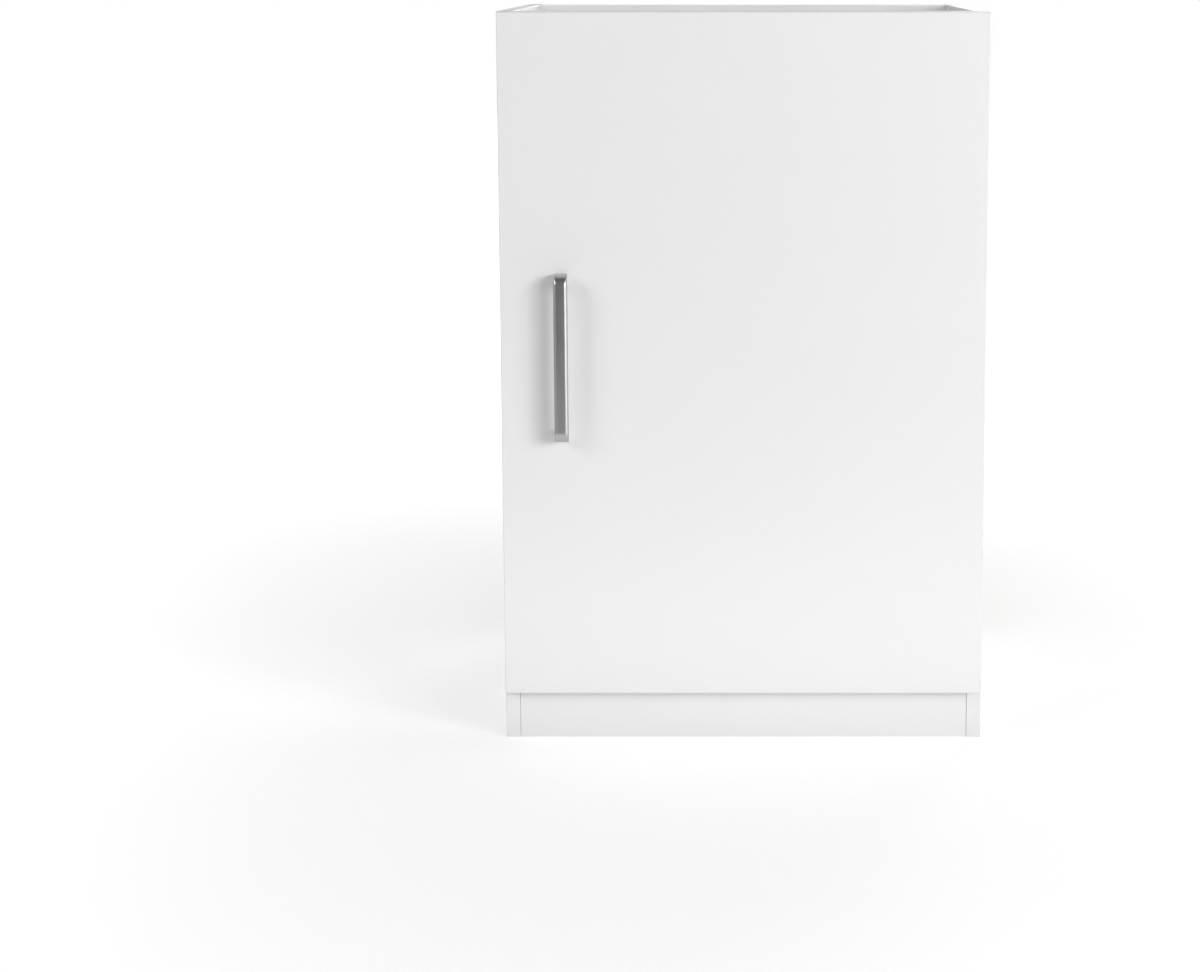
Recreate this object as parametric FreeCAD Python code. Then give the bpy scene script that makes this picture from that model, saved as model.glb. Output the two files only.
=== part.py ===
import FreeCAD, Part
import math
import os

# Kitchen base cabinet with one full-overlay door, open at the top for a worktop.
# Millimetres. X runs to the right, Y to the wall, Z up, and the door faces -Y.
# The origin is on the floor, in the middle of the whole cabinet's box.

# Carcass
carcass_width = 500.0
carcass_height = 758.0
carcass_depth = 460.0
board = 15.0
band_round = 0.7
plinth_height = 60.0
plinth_end_play = 0.3
front_rail_height = 80.0
rear_rail_height = 100.0

# Back sheet, which slides down grooves in the side panels
back_sheet = 3.0
service_void = 42.0
groove_depth = 7.0
groove_play = 0.1
sheet_end_play = 0.5
sheet_screw_radius = 1.5
sheet_screw_bite = 13.0
sheet_screw_head_radius = 3.5
sheet_screw_head = 1.2
sheet_screw_inset = 70.0

# Door
door_gap = 3.0
door_reveal = 1.0
door_top_drop = 0.5
door_bottom = 52.0
door_thickness = 15.0
door_edge_round = 1.0

# Bow handle and its screws
handle_width = 15.0
handle_foot_width = 12.0
handle_hole_spacing = 160.0
handle_foot_height = 12.0
handle_projection = 26.0
handle_thickness = 8.0
handle_bend = 10.5
handle_inner_bend = 3.0
handle_edge_round = 3.0
handle_inner_round = 1.0
handle_edge_distance = 63.1
handle_height = 407.6
handle_screw_radius = 2.0
handle_screw_play = 0.5
handle_screw_bite = 10.0
handle_screw_head_radius = 4.5
handle_screw_head = 2.4

# Shelf on pins, in rows of holes
shelf_hole_height = 400.0
shelf_hole_pitch = 32.0
shelf_holes_each_way = 2
shelf_hole_radius = 2.5
shelf_hole_cover = 5.0
shelf_hole_setback = 69.0
shelf_side_play = 1.0
shelf_front_setback = 20.0
shelf_rear_play = 5.0
shelf_pin_collar_radius = 4.5
shelf_pin_collar = 0.8
shelf_pin_tongue = 9.0
shelf_pin_tongue_width = 8.0
shelf_pin_tongue_thickness = 3.0

# Cam joints and dowels of the boards
cam_radius = 7.5
cam_depth = 12.5
cam_distance = 24.0
cam_setback = 50.0
cam_slot_length = 9.0
cam_slot_width = 1.2
cam_slot_depth = 2.0
bolt_thread_radius = 2.5
bolt_thread_cover = 4.0
bolt_shank_radius = 3.0
bolt_neck_radius = 1.6
bolt_neck = 3.0
bolt_head_radius = 3.2
bolt_head = 2.5
bolt_bore_radius = 4.0
dowel_radius = 4.0
dowel_in_board = 20.0
dowel_cover = 5.0
dowel_step = 32.0
rail_joint_inset = 24.0
plinth_joint_inset = 15.0

# Corner blocks that hold the plinth under the bottom panel
block_size = 18.0
block_width = 24.0
block_chamfer = 6.0
block_setback = 90.0
block_screw_radius = 1.9
block_screw_bite = 11.0
block_screw_head_radius = 3.5
block_screw_head = 1.5
block_screw_offset = 6.0
block_screw_inset = 6.0

# Concealed single-pivot cup hinge
hinge_inset = 115.0
cup_radius = 17.5
cup_depth = 11.5
cup_wall = 0.8
cup_edge_distance = 3.0
cup_flange = 1.0
cup_flange_rim = 1.0
cup_screw_span = 45.0
cup_screw_offset = 9.5
cup_ear_radius = 6.0
cup_screw_radius = 1.6
cup_screw_bite = 10.0
cup_screw_head_radius = 3.2
cup_screw_head = 1.2
pin_radius = 1.2
eye_wall = 1.05
eye_width = 8.0
eye_clearance = 0.3
lug_thickness = 2.5
arm_sheet = 2.0
arm_bend = 1.5
arm_width = 14.0
arm_length = 56.0
arm_taper = 7.0
arm_rim = 3.0
arm_rim_thickness = 1.5
arm_end_round = 5.0
arm_screw_radius = 2.0
arm_screw_head_radius = 3.5
arm_screw_head = 2.0
arm_screw_setbacks = (26.0, 47.0)
plate_thickness = 6.0
plate_setback = 18.0
plate_end_margin = 2.0
plate_wing_thickness = 3.0
plate_wing_radius = 6.5
plate_screw_setback = 37.0
plate_screw_span = 32.0
plate_screw_radius = 2.5
plate_screw_cover = 4.0
plate_screw_head_radius = 4.0
plate_screw_head = 1.8

# Soft bumpers behind the free edge of the door
bumper_radius = 5.0
bumper_play = 0.1
bumper_inset = 20.0

# Wall brackets in the upper rear corners
bracket_leg = 30.0
bracket_width = 25.0
bracket_sheet = 2.0
bracket_bend = 1.0
bracket_drop = 58.0
bracket_hole_radius = 3.25
bracket_hole_offset = 18.0
bracket_screw_span = 13.0
bracket_screw_radius = 1.9
bracket_screw_cover = 4.0
bracket_screw_head_radius = 3.5
bracket_screw_head = 1.5

# Fits: radial play of fastened and of turning pieces, and room below a screw's tip
hole_fit = 0.05
turning_fit = 0.05
tip_play = 0.5

# Places that follow from the sizes above
total_depth = carcass_depth + door_gap + door_thickness + handle_projection
handle_front_y = -total_depth / 2
door_front_y = handle_front_y + handle_projection
door_back_y = door_front_y + door_thickness
front_y = door_back_y + door_gap
rear_y = front_y + carcass_depth
sheet_rear_y = rear_y - service_void
sheet_front_y = sheet_rear_y - back_sheet
outer_x = carcass_width / 2
inner_x = outer_x - board
door_x = outer_x - door_reveal
top_z = carcass_height
door_top_z = top_z - door_top_drop
bottom_mid_z = plinth_height + board / 2
front_rail_y = front_y + board / 2
rear_rail_y = sheet_front_y - board / 2
rear_rail_mid_z = top_z - rear_rail_height / 2
sides = (-1, 1)

V = FreeCAD.Vector
RIGHT, BACK, UP = V(1, 0, 0), V(0, 1, 0), V(0, 0, 1)


def block(corner, opposite):
    """A block between two opposite corners, in any order."""
    low = V(min(corner.x, opposite.x), min(corner.y, opposite.y), min(corner.z, opposite.z))
    size = V(abs(corner.x - opposite.x), abs(corner.y - opposite.y), abs(corner.z - opposite.z))
    return Part.makeBox(size.x, size.y, size.z, low)


def box(x, y, z):
    """A block between two values on each axis."""
    return block(V(x[0], y[0], z[0]), V(x[1], y[1], z[1]))


def rod(start, direction, radius, length):
    return Part.makeCylinder(radius, length, start, direction)


def join(first, *others):
    return first.fuse(list(others)).removeSplitter()


def screw(seat, inward, radius, bite, head_radius, head):
    """A pan-head screw: its head sits on the seat point and its shank goes inward."""
    return join(rod(seat, inward, radius, bite), rod(seat - inward * head, inward, head_radius, head))


def prism(points, along):
    """A straight-sided outline pulled along a vector."""
    return Part.Face(Part.makePolygon(points + points[:1])).extrude(along)


def edges_where(shape, test):
    """The edges whose two ends both pass the test."""
    return [edge for edge in shape.Edges if all(test(vertex.Point) for vertex in edge.Vertexes)]


def same(a, b):
    return abs(a - b) < 1e-6


def save(name, *solids):
    shape = solids[0] if len(solids) == 1 else Part.makeCompound(solids)
    shape.exportStep(f"parts/{name}.step")


# Board joints: a spot is where a bolt or dowel axis meets the inner face of a side panel.
# A cam spot also gives the direction in which the cam's face looks.
cam_spots = {
    "bottom_panel": [
        (V(0, front_y + cam_setback, bottom_mid_z), -UP),
        (V(0, sheet_front_y - cam_setback, bottom_mid_z), -UP),
    ],
    "front_rail": [(V(0, front_rail_y, top_z - front_rail_height + rail_joint_inset), BACK)],
    "rear_rail": [(V(0, rear_rail_y, top_z - rear_rail_height + rail_joint_inset), -BACK)],
    "plinth": [],
}
dowel_spots = {
    "bottom_panel": [
        V(0, front_y + cam_setback + dowel_step, bottom_mid_z),
        V(0, sheet_front_y - cam_setback - dowel_step, bottom_mid_z),
    ],
    "front_rail": [V(0, front_rail_y, top_z - rail_joint_inset)],
    "rear_rail": [V(0, rear_rail_y, top_z - rail_joint_inset)],
    "plinth": [
        V(0, front_rail_y, plinth_joint_inset),
        V(0, front_rail_y, plinth_height - plinth_joint_inset),
    ],
}
all_cam_spots = [spot for spots in cam_spots.values() for spot in spots]
all_dowel_spots = [spot for spots in dowel_spots.values() for spot in spots]


def on_side(spot, side):
    return V(side * inner_x, spot.y, spot.z)


def cam_centre(spot, side):
    return on_side(spot, side) - RIGHT * side * cam_distance


def dowel_rod(spot, side, radius):
    depth = board - dowel_cover
    start = on_side(spot, side) + RIGHT * side * depth
    return rod(start, RIGHT * -side, radius, depth + dowel_in_board)


def cam_disc(spot, side, face, radius):
    return rod(cam_centre(spot, side) + face * board / 2, -face, radius, cam_depth)


def end_joint_cuts(name):
    """The cam pockets, bolt bores and dowel holes at both ends of a board."""
    cuts = []
    for side in sides:
        for spot, face in cam_spots[name]:
            cuts.append(cam_disc(spot, side, face, cam_radius))
            cuts.append(rod(on_side(spot, side), RIGHT * -side, bolt_bore_radius, cam_distance))
        for spot in dowel_spots[name]:
            cuts.append(dowel_rod(spot, side, dowel_radius))
    return cuts


def wood_dowels():
    return [dowel_rod(spot, side, dowel_radius - hole_fit) for side in sides for spot in all_dowel_spots]


def cam_lock(spot, side, face):
    """A cam disc with a cross slot in its face and a channel for the bolt's head."""
    body = cam_disc(spot, side, face, cam_radius - hole_fit)
    mouth = cam_centre(spot, side) + face * board / 2
    across = face.cross(RIGHT)
    slots = []
    for long_way, short_way in ((RIGHT, across), (across, RIGHT)):
        half = long_way * cam_slot_length / 2 + short_way * cam_slot_width / 2
        slots.append(block(mouth + half, mouth - half - face * cam_slot_depth))
    channel_start = cam_centre(spot, side) - RIGHT * side * bolt_head
    channel = rod(channel_start, RIGHT * side, bolt_bore_radius, bolt_head + cam_radius)
    return body.cut(slots + [channel])


def cam_bolt(spot, side):
    """A connector bolt: thread in the side panel, shank and neck, and a head inside the cam."""
    face = on_side(spot, side)
    inward = RIGHT * -side
    shank = cam_distance - bolt_head / 2 - bolt_neck
    thread = rod(face, RIGHT * side, bolt_thread_radius - hole_fit, board - bolt_thread_cover - tip_play)
    body = rod(face, inward, bolt_shank_radius, shank)
    neck = rod(face + inward * shank, inward, bolt_neck_radius, bolt_neck)
    head = rod(face + inward * (shank + bolt_neck), inward, bolt_head_radius, bolt_head)
    return join(thread, body, neck, head)


# Side panels, with the groove of the back sheet and their drilled holes
shelf_hole_rows = (front_y + shelf_hole_setback, sheet_front_y - shelf_hole_setback)
shelf_hole_depth = board - shelf_hole_cover


def long_edges(panel, length, z):
    """The edges of a board's upper or lower face that have a given length."""
    return [edge for edge in edges_where(panel, lambda p: same(p.z, z)) if same(edge.Length, length)]


def side_panel(side):
    panel = box((side * inner_x, side * outer_x), (front_y, rear_y), (0, top_z))
    bands = edges_where(panel, lambda p: same(p.y, front_y)) + long_edges(panel, carcass_depth, top_z)
    panel = panel.makeFillet(band_round, bands)
    outward = RIGHT * side
    groove = box(
        (side * inner_x, side * (inner_x + groove_depth)),
        (sheet_front_y - groove_play, sheet_rear_y + groove_play),
        (0, top_z),
    )
    cuts = [groove]
    cuts += [dowel_rod(spot, side, dowel_radius) for spot in all_dowel_spots]
    cuts += [rod(on_side(spot, side), outward, bolt_thread_radius, board - bolt_thread_cover)
             for spot, face in all_cam_spots]
    for y in shelf_hole_rows:
        for step in range(-shelf_holes_each_way, shelf_holes_each_way + 1):
            mouth = V(side * inner_x, y, shelf_hole_height + step * shelf_hole_pitch)
            cuts.append(rod(mouth, outward, shelf_hole_radius, shelf_hole_depth))
    cuts += [rod(on_side(spot, side), outward, bracket_screw_radius + hole_fit, board - bracket_screw_cover)
             for spot in bracket_screw_spots]
    if side > 0:
        cuts += [rod(on_side(spot, side), outward, plate_screw_radius + hole_fit, board - plate_screw_cover)
                 for spot in plate_screw_spots]
    return panel.cut(cuts)


# Boards between the side panels
def bottom_panel():
    panel = box((-inner_x, inner_x), (front_y, sheet_front_y), (plinth_height, plinth_height + board))
    panel = panel.makeFillet(band_round, edges_where(panel, lambda p: same(p.y, front_y)))
    cuts = end_joint_cuts("bottom_panel")
    cuts += [rod(V(x, sheet_front_y, bottom_mid_z), -BACK, sheet_screw_radius + hole_fit, sheet_screw_bite)
             for x in sheet_screw_columns]
    cuts += [rod(V(x - block_screw_offset, block_screw_y, plinth_height), UP, block_screw_radius + hole_fit,
                 block_screw_bite) for x in block_columns]
    return panel.cut(cuts)


def plinth():
    reach = inner_x - plinth_end_play
    panel = box((-reach, reach), (front_y, front_y + board), (0, plinth_height))
    cuts = end_joint_cuts("plinth")
    cuts += [rod(V(x + block_screw_offset, front_y + board, block_screw_z), -BACK,
                 block_screw_radius + hole_fit, block_screw_bite) for x in block_columns]
    return panel.cut(cuts)


def front_rail():
    low_z = top_z - front_rail_height
    rail = box((-inner_x, inner_x), (front_y, front_y + board), (low_z, top_z))
    bands = long_edges(rail, 2 * inner_x, low_z) + long_edges(rail, 2 * inner_x, top_z)
    return rail.makeFillet(band_round, bands).cut(end_joint_cuts("front_rail"))


def rear_rail():
    low_z = top_z - rear_rail_height
    rail = box((-inner_x, inner_x), (sheet_front_y - board, sheet_front_y), (low_z, top_z))
    rail = rail.makeFillet(band_round, long_edges(rail, 2 * inner_x, top_z))
    cuts = end_joint_cuts("rear_rail")
    cuts += [rod(V(x, sheet_front_y, rear_rail_mid_z), -BACK, sheet_screw_radius + hole_fit, sheet_screw_bite)
             for x in sheet_screw_columns]
    return rail.cut(cuts)


# Back sheet, screwed to the bottom panel's edge and to the rear rail
sheet_screw_columns = (-inner_x + sheet_screw_inset, inner_x - sheet_screw_inset)
sheet_screw_spots = [V(x, sheet_rear_y, z) for x in sheet_screw_columns for z in (bottom_mid_z, rear_rail_mid_z)]


def back_panel():
    reach = inner_x + groove_depth - sheet_end_play
    sheet = box((-reach, reach), (sheet_front_y, sheet_rear_y), (plinth_height, top_z))
    return sheet.cut([rod(spot, -BACK, sheet_screw_radius + hole_fit, back_sheet) for spot in sheet_screw_spots])


def back_panel_screws():
    bite = back_sheet + sheet_screw_bite - tip_play
    return [screw(spot, -BACK, sheet_screw_radius, bite, sheet_screw_head_radius, sheet_screw_head)
            for spot in sheet_screw_spots]


# Plinth blocks: one screw goes up into the bottom panel, one forward into the plinth
block_columns = (-inner_x + block_setback, inner_x - block_setback)
block_rear_y = front_y + board + block_size
block_bottom_z = plinth_height - block_size
block_screw_y = front_y + board + block_screw_inset
block_screw_z = plinth_height - block_screw_inset


def plinth_block(x):
    body = box((x - block_width / 2, x + block_width / 2), (front_y + board, block_rear_y),
               (block_bottom_z, plinth_height))
    lower_rear = edges_where(body, lambda p: same(p.y, block_rear_y) and same(p.z, block_bottom_z))
    body = body.makeChamfer(block_chamfer, lower_rear)
    radius = block_screw_radius + hole_fit
    upright = rod(V(x - block_screw_offset, block_screw_y, block_bottom_z), UP, radius, block_size)
    level = rod(V(x + block_screw_offset, block_rear_y, block_screw_z), -BACK, radius, block_size)
    return body.cut([upright, level])


def plinth_block_screws():
    bite = block_size + block_screw_bite - tip_play
    size = (block_screw_radius, bite, block_screw_head_radius, block_screw_head)
    screws = []
    for x in block_columns:
        screws.append(screw(V(x - block_screw_offset, block_screw_y, block_bottom_z), UP, *size))
        screws.append(screw(V(x + block_screw_offset, block_rear_y, block_screw_z), -BACK, *size))
    return screws


# Shelf and its four pins
shelf_bottom_z = shelf_hole_height + shelf_hole_radius


def shelf():
    reach = inner_x - shelf_side_play
    shelf_front_y = front_y + shelf_front_setback
    panel = box((-reach, reach), (shelf_front_y, sheet_front_y - shelf_rear_play),
                (shelf_bottom_z, shelf_bottom_z + board))
    return panel.makeFillet(band_round, edges_where(panel, lambda p: same(p.y, shelf_front_y)))


def shelf_pin(side, y):
    face = V(side * inner_x, y, shelf_hole_height)
    peg = rod(face, RIGHT * side, shelf_hole_radius - hole_fit, shelf_hole_depth - tip_play)
    collar = rod(face, RIGHT * -side, shelf_pin_collar_radius, shelf_pin_collar)
    tongue_end = side * (inner_x - shelf_pin_collar - shelf_pin_tongue)
    tongue = box((side * inner_x, tongue_end), (y - shelf_pin_tongue_width / 2, y + shelf_pin_tongue_width / 2),
                 (shelf_bottom_z - shelf_pin_tongue_thickness, shelf_bottom_z))
    return join(peg, collar, tongue)


# Door, drilled for the hinge cups, their screws and the handle
handle_x = -door_x + handle_edge_distance
handle_screw_heights = [handle_height + end * handle_hole_spacing / 2 for end in sides]
hinge_heights = {"upper": door_top_z - hinge_inset, "lower": door_bottom + hinge_inset}
cup_x = door_x - cup_edge_distance - cup_radius
cup_screw_spots = [V(cup_x - cup_screw_offset, door_back_y, height + end * cup_screw_span / 2)
                   for height in hinge_heights.values() for end in sides]


def door_panel():
    panel = box((-door_x, door_x), (door_front_y, door_back_y), (door_bottom, door_top_z))
    rims = [edge for y in (door_front_y, door_back_y) for edge in edges_where(panel, lambda p: same(p.y, y))]
    panel = panel.makeFillet(door_edge_round, rims)
    cuts = [rod(V(cup_x, door_back_y, height), -BACK, cup_radius, cup_depth) for height in hinge_heights.values()]
    cuts += [rod(spot, -BACK, cup_screw_radius + hole_fit, cup_screw_bite) for spot in cup_screw_spots]
    cuts += [rod(V(handle_x, door_back_y, z), -BACK, handle_screw_radius + handle_screw_play, door_thickness)
             for z in handle_screw_heights]
    return panel.cut(cuts)


# Handle: a bow with bent corners and soft edges, which narrows towards the door
handle_low_z = handle_screw_heights[0] - handle_foot_height / 2
handle_high_z = handle_screw_heights[1] + handle_foot_height / 2
bow_outside = (handle_front_y, handle_low_z, handle_high_z)
bow_inside = (handle_front_y + handle_thickness, handle_low_z + handle_foot_height, handle_high_z - handle_foot_height)


def handle_half_width(y):
    share = (y - handle_front_y) / handle_projection
    return (handle_width + share * (handle_foot_width - handle_width)) / 2


def bow_slab(front, low, high, bend):
    """A tapered slab that is square at the door and rounded at its two outer corners."""
    plan = [V(handle_x + side * handle_half_width(y), y, low)
            for side, y in ((-1, front), (-1, door_front_y), (1, door_front_y), (1, front))]
    slab = prism(plan, UP * (high - low))
    corners = [edge for z in (low, high) for edge in edges_where(slab, lambda p: same(p.y, front) and same(p.z, z))]
    return slab.makeFillet(bend, corners)


def bow_rims(shape, front, low, high):
    """The edges along both flanks on the outside, or on the inside, of the bow."""
    def on_rim(p, side):
        on_face = same(p.y, front) or same(p.z, low) or same(p.z, high)
        return on_face and same((p.x - handle_x) * side, handle_half_width(p.y))
    return [edge for side in sides for edge in edges_where(shape, lambda p: on_rim(p, side))]


def handle():
    bow = bow_slab(*bow_outside, handle_bend).cut(bow_slab(*bow_inside, handle_inner_bend))
    bow = bow.makeFillet(handle_edge_round, bow_rims(bow, *bow_outside))
    bow = bow.makeFillet(handle_inner_round, bow_rims(bow, *bow_inside))
    return bow.cut([rod(V(handle_x, door_front_y, z), -BACK, handle_screw_radius + hole_fit, handle_screw_bite)
                    for z in handle_screw_heights])


def handle_screws():
    bite = door_thickness + handle_screw_bite - tip_play
    return [screw(V(handle_x, door_back_y, z), -BACK, handle_screw_radius, bite, handle_screw_head_radius,
                  handle_screw_head) for z in handle_screw_heights]


# Bumpers: soft domes on the door, which meet the front edge of the left side panel
def door_bumper(z):
    height = door_gap - bumper_play
    sphere_radius = (bumper_radius**2 + height**2) / (2 * height)
    centre = V(-outer_x + board / 2, door_back_y + height - sphere_radius, z)
    above_door = box((centre.x - sphere_radius, centre.x + sphere_radius), (door_back_y, door_back_y + height),
                     (z - sphere_radius, z + sphere_radius))
    return Part.makeSphere(sphere_radius, centre).common(above_door)


# Hinge: the pin stands beside the cup's wall and deep in the cup, so that the turning
# edge of the door clears the side panel. The arm leaves the cup as a goose-neck.
cup_outer_radius = cup_radius - hole_fit
cup_inner_radius = cup_outer_radius - cup_wall
cup_floor_y = door_back_y - cup_depth + cup_wall
flange_y = door_back_y + cup_flange
eye_radius = pin_radius + turning_fit + eye_wall
pivot_x = cup_x + math.sqrt(cup_inner_radius**2 - (eye_width / 2)**2) - eye_clearance - eye_radius
pivot_y = cup_floor_y + eye_clearance + eye_radius
lug_inner = eye_width / 2 + eye_clearance
lug_outer = lug_inner + lug_thickness
arm_face_x = inner_x - plate_thickness
arm_outer_x = arm_face_x - arm_sheet
arm_end_y = front_y + arm_length
plate_screw_spots = [V(inner_x, front_y + plate_screw_setback, height + end * plate_screw_span / 2)
                     for height in hinge_heights.values() for end in sides]


def hinge_cup(height):
    mouth = V(cup_x, door_back_y, height)
    shell = rod(mouth, -BACK, cup_outer_radius, cup_depth)
    flange = rod(mouth, BACK, cup_radius + cup_flange_rim, cup_flange)
    ear_x = cup_x - cup_screw_offset
    ear_z = cup_screw_span / 2
    ears = [rod(V(ear_x, door_back_y, height + end * ear_z), BACK, cup_ear_radius, cup_flange) for end in sides]
    bridge = box((ear_x - cup_ear_radius, ear_x + cup_ear_radius), (door_back_y, flange_y),
                 (height - ear_z, height + ear_z))
    cup = join(shell, flange, bridge, *ears)
    cup = cup.cut(rod(V(cup_x, flange_y, height), -BACK, cup_inner_radius, flange_y - cup_floor_y))
    inside = rod(V(cup_x, cup_floor_y, height), BACK, cup_inner_radius + cup_wall / 2, cup_depth)
    lugs = [box((pivot_x - eye_radius, door_x), (cup_floor_y, pivot_y + eye_radius),
                (height + end * lug_inner, height + end * lug_outer)).common(inside) for end in sides]
    cup = join(cup, *lugs)
    pin_hole = rod(V(pivot_x, pivot_y, height - lug_outer), UP, pin_radius, 2 * lug_outer)
    screw_holes = [rod(V(ear_x, flange_y, height + end * ear_z), -BACK, cup_screw_radius + hole_fit, cup_flange)
                   for end in sides]
    return cup.cut([pin_hole] + screw_holes)


def hinge_pin(height):
    return rod(V(pivot_x, pivot_y, height - lug_outer), UP, pin_radius, 2 * lug_outer)


def hinge_cup_screws():
    bite = cup_flange + cup_screw_bite - tip_play
    return [screw(spot + BACK * cup_flange, -BACK, cup_screw_radius, bite, cup_screw_head_radius, cup_screw_head)
            for spot in cup_screw_spots]


def quarter_arc(centre, radius, middle_direction, start, end):
    """A quarter circle from start to end whose middle lies in the given direction."""
    middle = centre + middle_direction * radius / math.sqrt(2)
    return Part.Arc(start, middle, end).toShape()


def goose_neck(height, neck_y):
    """The narrow strip that leaves the eye level, bends and comes out of the cup."""
    z = height - eye_width / 2
    low_y, high_y = pivot_y - arm_sheet / 2, pivot_y + arm_sheet / 2
    centre = V(arm_face_x + arm_bend, high_y + arm_bend, z)
    outer_radius = arm_bend + arm_sheet
    eye_low, eye_high = V(pivot_x, low_y, z), V(pivot_x, high_y, z)
    neck_out, neck_in = V(arm_outer_x, neck_y, z), V(arm_face_x, neck_y, z)
    outer_start, outer_end = V(centre.x, low_y, z), V(arm_outer_x, centre.y, z)
    inner_start, inner_end = V(arm_face_x, centre.y, z), V(centre.x, high_y, z)
    toward_corner = -RIGHT - BACK
    edges = [
        Part.makeLine(eye_low, outer_start),
        quarter_arc(centre, outer_radius, toward_corner, outer_start, outer_end),
        Part.makeLine(outer_end, neck_out),
        Part.makeLine(neck_out, neck_in),
        Part.makeLine(neck_in, inner_start),
        quarter_arc(centre, arm_bend, toward_corner, inner_start, inner_end),
        Part.makeLine(inner_end, eye_high),
        Part.makeLine(eye_high, eye_low),
    ]
    return Part.Face(Part.Wire(edges)).extrude(UP * eye_width)


def arm_screw_seats(height):
    return [V(arm_outer_x, front_y + setback, height) for setback in arm_screw_setbacks]


def hinge_arm(height):
    neck_y = flange_y + cup_flange
    wide_y = neck_y + arm_taper
    half_eye, half_arm = eye_width / 2, arm_width / 2
    outline = [(neck_y, -half_eye), (wide_y, -half_arm), (arm_end_y, -half_arm),
               (arm_end_y, half_arm), (wide_y, half_arm), (neck_y, half_eye)]
    blade = prism([V(arm_face_x, y, height + z) for y, z in outline], RIGHT * -arm_sheet)
    blade = blade.makeFillet(arm_end_round, [edge for edge in edges_where(blade, lambda p: same(p.y, arm_end_y))
                                             if same(edge.Length, arm_sheet)])
    rims = [box((arm_outer_x, arm_outer_x - arm_rim), (wide_y, arm_end_y - arm_end_round),
                (height + end * half_arm, height + end * (half_arm - arm_rim_thickness))) for end in sides]
    eye = rod(V(pivot_x, pivot_y, height - half_eye), UP, eye_radius, eye_width)
    arm = join(goose_neck(height, neck_y), eye, blade, *rims)
    cuts = [rod(V(pivot_x, pivot_y, height - half_eye), UP, pin_radius + turning_fit, eye_width)]
    cuts += [rod(seat, RIGHT, arm_screw_radius + hole_fit, arm_sheet) for seat in arm_screw_seats(height)]
    return arm.cut(cuts)


def hinge_plate(height):
    body = box((arm_face_x, inner_x), (front_y + plate_setback, arm_end_y + plate_end_margin),
               (height - arm_width / 2, height + arm_width / 2))
    wing_x = inner_x - plate_wing_thickness
    wing_y = front_y + plate_screw_setback
    wing_z = plate_screw_span / 2
    bar = box((wing_x, inner_x), (wing_y - plate_wing_radius, wing_y + plate_wing_radius),
              (height - wing_z, height + wing_z))
    tips = [rod(V(wing_x, wing_y, height + end * wing_z), RIGHT, plate_wing_radius, plate_wing_thickness) for end in sides]
    plate = join(body, bar, *tips)
    cuts = [rod(V(wing_x, wing_y, height + end * wing_z), RIGHT, plate_screw_radius + hole_fit, plate_wing_thickness)
            for end in sides]
    cuts += [rod(seat, RIGHT, arm_screw_radius + hole_fit, arm_sheet + plate_thickness)
             for seat in arm_screw_seats(height)]
    return plate.cut(cuts)


def hinge_plate_screws():
    bite = plate_wing_thickness + board - plate_screw_cover - tip_play
    return [screw(spot - RIGHT * plate_wing_thickness, RIGHT, plate_screw_radius, bite, plate_screw_head_radius,
                  plate_screw_head) for spot in plate_screw_spots]


def hinge_arm_screws():
    bite = arm_sheet + plate_thickness - tip_play
    return [screw(seat, RIGHT, arm_screw_radius, bite, arm_screw_head_radius, arm_screw_head)
            for height in hinge_heights.values() for seat in arm_screw_seats(height)]


# Wall brackets: bent angles flush with the rear edges, behind the back sheet
bracket_z = top_z - bracket_drop
bracket_screw_spots = [V(0, rear_y - bracket_hole_offset, bracket_z + end * bracket_screw_span / 2) for end in sides]


def wall_bracket(side):
    heights = (bracket_z - bracket_width / 2, bracket_z + bracket_width / 2)
    side_leg = box((side * inner_x, side * (inner_x - bracket_sheet)), (rear_y - bracket_leg, rear_y), heights)
    wall_leg = box((side * inner_x, side * (inner_x - bracket_leg)), (rear_y - bracket_sheet, rear_y), heights)
    angle = join(side_leg, wall_leg)
    outer_corner = edges_where(angle, lambda p: same(p.x, side * inner_x) and same(p.y, rear_y))
    angle = angle.makeFillet(bracket_bend + bracket_sheet, outer_corner)
    inner_corner = edges_where(angle, lambda p: same(p.x, side * (inner_x - bracket_sheet))
                               and same(p.y, rear_y - bracket_sheet))
    angle = angle.makeFillet(bracket_bend, inner_corner)
    wall_hole = rod(V(side * (inner_x - bracket_hole_offset), rear_y, bracket_z), -BACK, bracket_hole_radius,
                    bracket_sheet)
    screw_holes = [rod(on_side(spot, side), RIGHT * -side, bracket_screw_radius + hole_fit, bracket_sheet)
                   for spot in bracket_screw_spots]
    return angle.cut([wall_hole] + screw_holes)


def wall_bracket_screws():
    bite = bracket_sheet + board - bracket_screw_cover - tip_play
    return [screw(on_side(spot, side) - RIGHT * side * bracket_sheet, RIGHT * side, bracket_screw_radius, bite,
                  bracket_screw_head_radius, bracket_screw_head) for side in sides for spot in bracket_screw_spots]


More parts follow.
